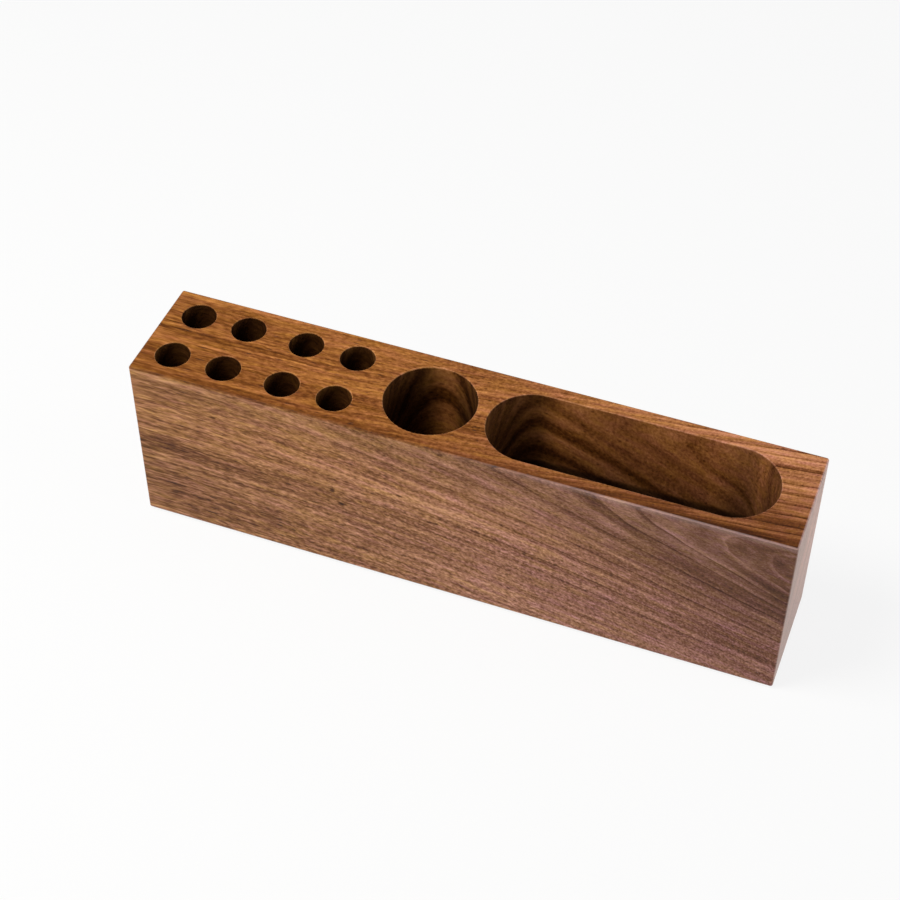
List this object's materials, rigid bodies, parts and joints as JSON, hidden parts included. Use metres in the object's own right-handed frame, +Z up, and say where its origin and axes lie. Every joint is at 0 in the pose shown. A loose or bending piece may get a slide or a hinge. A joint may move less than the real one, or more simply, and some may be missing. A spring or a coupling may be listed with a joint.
{
  "type": "pen holder",
  "caption": "Solid hardwood desk block with two rows of pen bores, a round cup and a long round-ended slot, standing on small non-slip pads.",
  "frame": {"origin": "middle of the footprint, on the surface the holder stands on", "axes": "+X along the length, from the pen bores to the slot; -Y is the front; +Z is up, out of the bores"},
  "size_m": [0.23, 0.042, 0.07],
  "materials": {
    "walnut": "oiled walnut, satin",
    "pad_rubber": "matt moulded rubber"
  },
  "bodies": {
    "root": {"wood_block": "walnut", "foot_front_left": "pad_rubber", "foot_front_right": "pad_rubber", "foot_back_left": "pad_rubber", "foot_back_right": "pad_rubber"}
  },
  "joints": []
}
